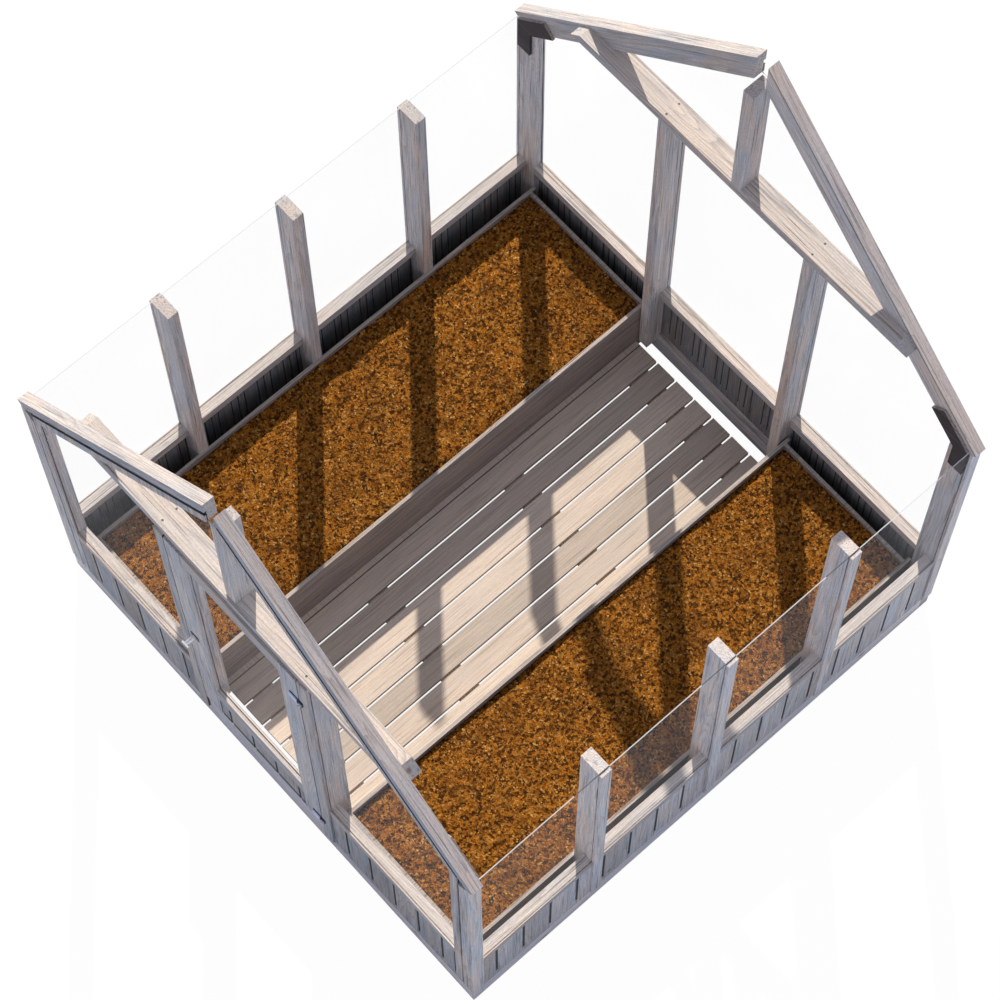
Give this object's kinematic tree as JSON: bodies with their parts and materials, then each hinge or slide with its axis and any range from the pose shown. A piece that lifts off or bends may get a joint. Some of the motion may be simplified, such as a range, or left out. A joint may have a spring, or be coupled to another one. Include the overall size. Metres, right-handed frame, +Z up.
{
  "type": "wooden greenhouse",
  "caption": "Walk-in timber greenhouse shell with boarded base walls, glazed sides and gables, planting beds, a slatted aisle floor and a hinged gable door.",
  "frame": {"origin": "centre of the overall footprint, on the ground", "axes": "+Z up, +Y from the door gable to the rear gable, +X to the right of someone who faces the door"},
  "size_m": [2.442, 2.5, 2.792],
  "materials": {
    "frame_wood": "matte",
    "board_wood": "matte",
    "floor_wood": "matte",
    "bed_wood": "matte",
    "gusset_wood": "matte",
    "pane_glass": "gloss",
    "bed_soil": "matte",
    "screw_steel": "satin",
    "hinge_steel": "satin",
    "latch_black": "satin",
    "handle_steel": "satin"
  },
  "bodies": {
    "house": {"sill_front": "frame_wood", "sill_rear": "frame_wood", "sill_left": "frame_wood", "sill_right": "frame_wood", "corner_post_front_left": "frame_wood", "corner_post_front_right": "frame_wood", "corner_post_rear_left": "frame_wood", "corner_post_rear_right": "frame_wood", "left_post_1": "frame_wood", "left_post_2": "frame_wood", "left_post_3": "frame_wood", "right_post_1": "frame_wood", "right_post_2": "frame_wood", "right_post_3": "frame_wood", "door_post_left": "frame_wood", "door_post_right": "frame_wood", "rear_stud_left": "frame_wood", "rear_stud_right": "frame_wood", "rafter_front_left": "frame_wood", "rafter_front_right": "frame_wood", "rafter_rear_left": "frame_wood", "rafter_rear_right": "frame_wood", "tie_beam_front": "frame_wood", "tie_beam_rear": "frame_wood", "king_post_front": "frame_wood", "king_post_rear": "frame_wood", "gussets": "gusset_wood", "left_battens": "frame_wood", "right_battens": "frame_wood", "front_strips": "frame_wood", "rear_strips": "frame_wood", "cladding_left": "board_wood", "cladding_right": "board_wood", "cladding_front": "board_wood", "cladding_rear": "board_wood", "rail_left": "frame_wood", "rail_right": "frame_wood", "rail_front": "frame_wood", "rail_rear": "frame_wood", "glass_left": "pane_glass", "glass_right": "pane_glass", "glass_front": "pane_glass", "glass_rear": "pane_glass", "floor_boards": "floor_wood", "floor_joists": "floor_wood", "bed_board_left": "bed_wood", "bed_board_right": "bed_wood", "bed_liners": "bed_wood", "soil_left": "bed_soil", "soil_right": "bed_soil", "frame_screws": "screw_steel", "door_stops": "frame_wood", "post_hinge_leaves": "hinge_steel"},
    "door": {"door_stiles": "frame_wood", "door_rails": "frame_wood", "door_cladding": "board_wood", "door_glass": "pane_glass", "door_hinge_leaves": "hinge_steel", "latch_plate": "latch_black"},
    "handle": {"latch_handle": "handle_steel"}
  },
  "joints": [
    {"name": "door_hinge", "type": "hinge", "parent": "house", "child": "door", "pos_m": [0.35, -1.206, 1], "axis": [0, 0, 1], "range_deg": [0, 110]},
    {"name": "latch_turn", "type": "hinge", "parent": "door", "child": "handle", "pos_m": [-0.305, -1.2, 1.013], "axis": [0, 1, 0], "range_deg": [0, 90]}
  ]
}
